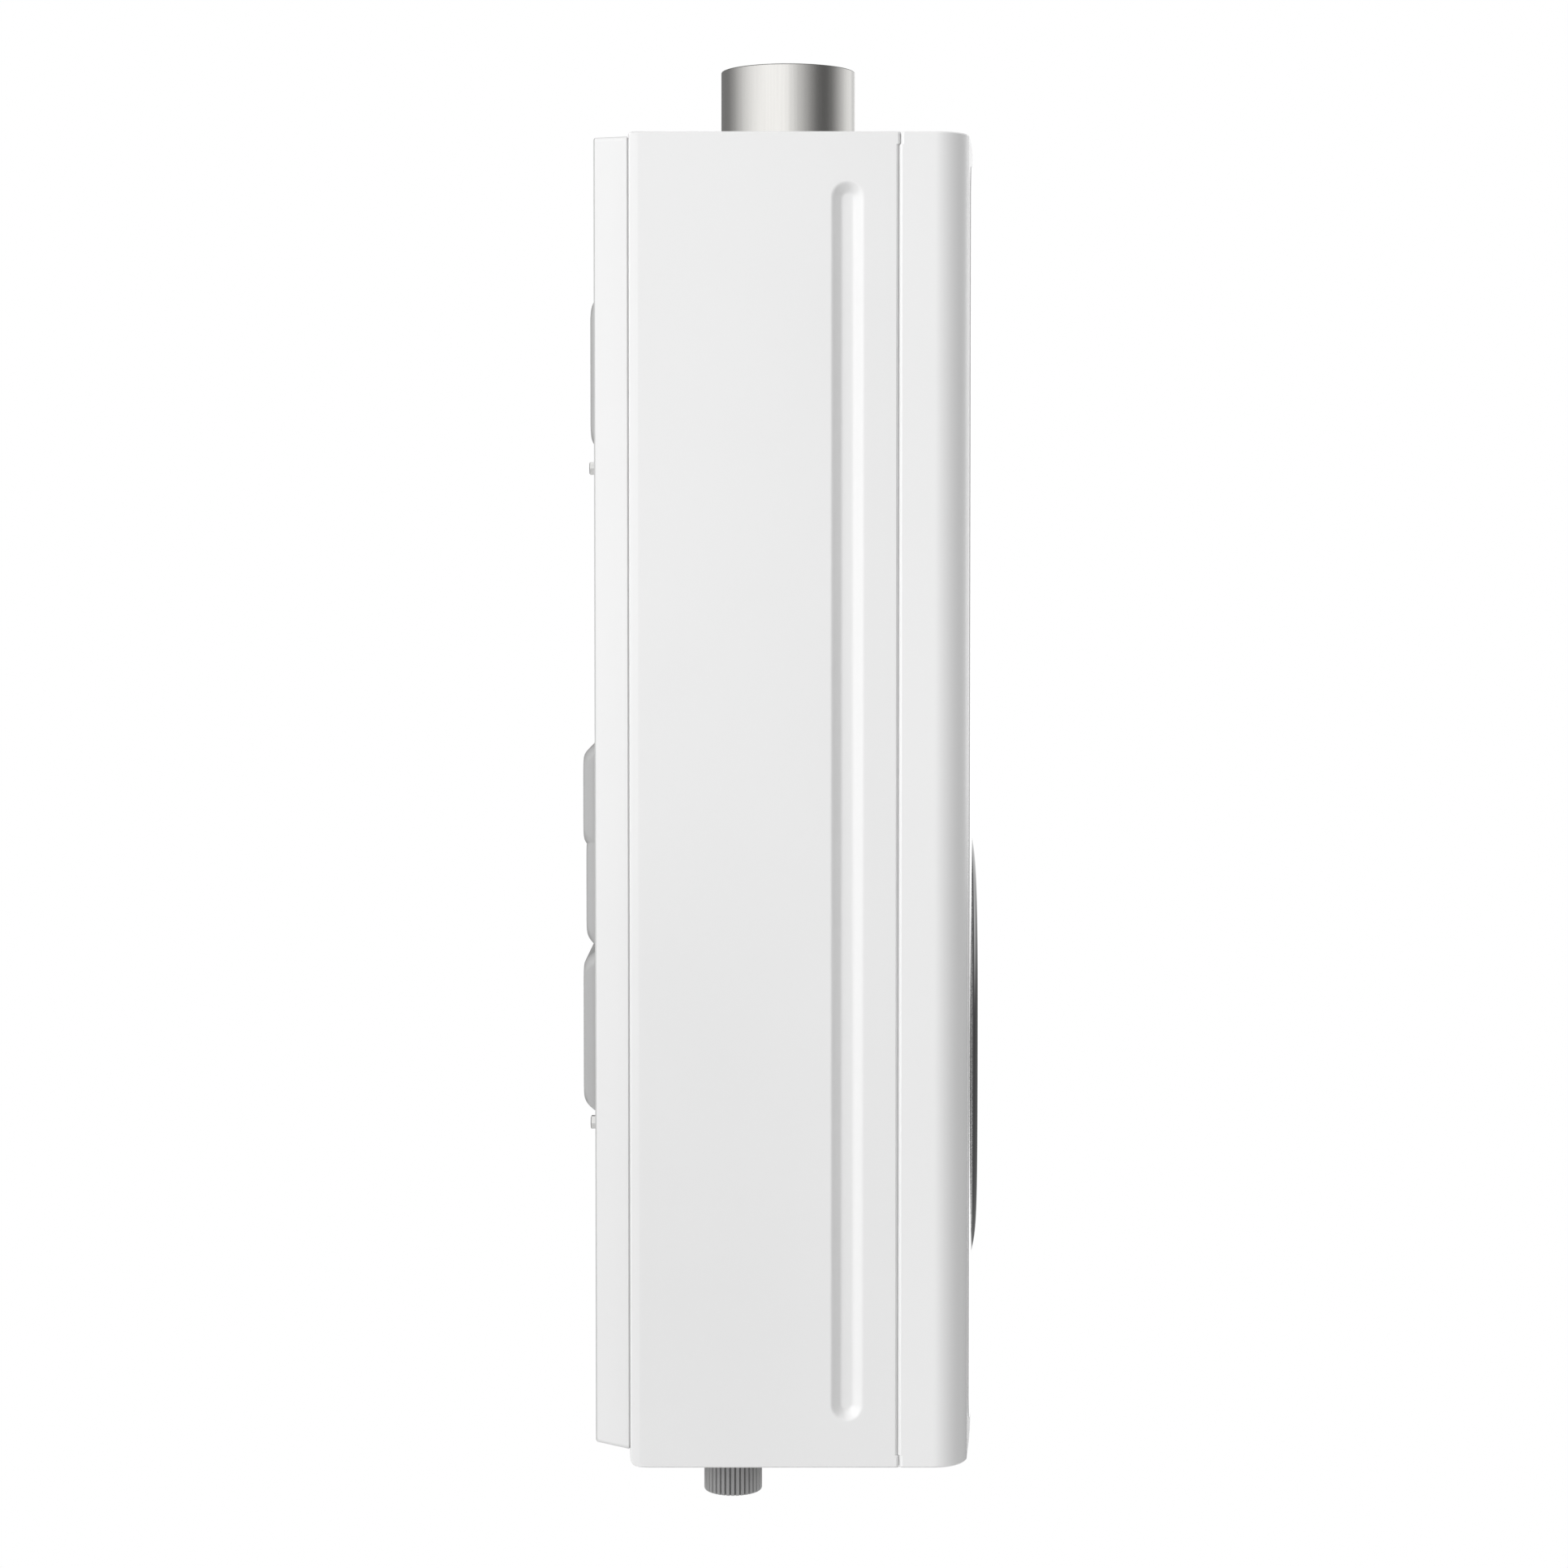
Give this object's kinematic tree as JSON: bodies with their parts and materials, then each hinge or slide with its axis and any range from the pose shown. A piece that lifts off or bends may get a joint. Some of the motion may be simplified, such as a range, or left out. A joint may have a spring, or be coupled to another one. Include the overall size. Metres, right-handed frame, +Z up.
{
  "type": "tankless water heater",
  "caption": "Wall-hung tankless gas water heater with an arched white cover, round black glass display, stainless flue spigot and ribbed knob below.",
  "frame": {"origin": "centre of the hanging bracket's pad, in the plane of the wall", "axes": "+Y into the wall, -Y out of the front cover, +Z up towards the flue, +X to the right side seen from the front"},
  "size_m": [0.33, 0.1634, 0.5942],
  "materials": {
    "white_paint": "satin white powder coat",
    "fascia_paint": "satin white",
    "black_glass": "glossy black-backed glass",
    "knob_plastic": "satin dark grey",
    "black_plastic": "matte black",
    "white_plastic": "matte off-white",
    "circuit_board": "green solder resist",
    "galvanised_steel": "galvanised",
    "stainless_steel": "brushed stainless",
    "zinc_screw": "zinc plated",
    "cast_aluminium": "as cast",
    "brass": "machined",
    "copper": "bright copper",
    "ceramic": "glazed white",
    "gasket_rubber": "red silicone"
  },
  "bodies": {
    "heater_body": {"rear_chassis": "white_paint", "outer_casing": "white_paint", "front_cover": "white_paint", "front_fascia": "fascia_paint", "display_glass": "black_glass", "display_housing": "black_plastic", "display_board": "circuit_board", "hanging_bracket": "galvanised_steel", "bracket_screw_left": "zinc_screw", "bracket_screw_right": "zinc_screw", "flue_collar": "stainless_steel", "flue_gasket": "gasket_rubber", "flue_screw_1": "zinc_screw", "flue_screw_2": "zinc_screw", "flue_screw_3": "zinc_screw", "flue_screw_4": "zinc_screw", "cover_screw_left": "zinc_screw", "cover_screw_right": "zinc_screw", "chassis_screw_upper_left": "zinc_screw", "chassis_screw_upper_right": "zinc_screw", "chassis_screw_lower_left": "zinc_screw", "chassis_screw_lower_right": "zinc_screw", "cable_gland": "black_plastic", "cold_inlet": "brass", "gas_inlet": "brass", "hot_outlet": "brass", "water_valve": "brass", "flow_sensor": "black_plastic", "cold_pipe": "copper", "exchanger_pipe": "copper", "hot_pipe": "copper", "gas_pipe": "galvanised_steel", "gas_valve": "cast_aluminium", "gas_valve_coil": "black_plastic", "gas_manifold": "cast_aluminium", "burner_box": "galvanised_steel", "burner_bars": "stainless_steel", "combustion_chamber": "copper", "heat_exchanger": "copper", "exhaust_hood": "galvanised_steel", "fan_housing": "galvanised_steel", "fan_motor": "black_plastic", "rail_upper": "galvanised_steel", "rail_lower": "galvanised_steel", "controller_box": "white_plastic", "controller_board": "circuit_board", "ignition_coil": "black_plastic", "ignition_electrode": "ceramic", "flame_sensor": "ceramic", "overheat_thermostat": "black_plastic", "pressure_switch": "white_plastic"},
    "control_knob": {"knob": "knob_plastic", "knob_spindle": "brass"},
    "fan_wheel": {"fan_impeller": "galvanised_steel", "fan_shaft": "zinc_screw"},
    "flow_wheel": {"flow_rotor": "white_plastic"},
    "gas_plunger": {"gas_valve_plunger": "zinc_screw"}
  },
  "joints": [
    {"name": "knob_turn", "type": "hinge", "parent": "heater_body", "child": "control_knob", "pos_m": [-0.105, -0.06, -0.498], "axis": [0, 0, 1], "range_deg": [0, 270]},
    {"name": "fan_spin", "type": "hinge", "parent": "heater_body", "child": "fan_wheel", "pos_m": [0.06, -0.0826, -0.057], "axis": [0, 0, 1], "continuous": true},
    {"name": "flow_spin", "type": "hinge", "parent": "heater_body", "child": "flow_wheel", "pos_m": [-0.055, -0.08, -0.455], "axis": [0, 0, 1], "continuous": true},
    {"name": "gas_plunger_slide", "type": "slide", "parent": "heater_body", "child": "gas_plunger", "axis": [0, -1, 0], "range_m": [0, 0.003], "stiffness_N_per_m": 200, "springref_m": -0.003}
  ]
}
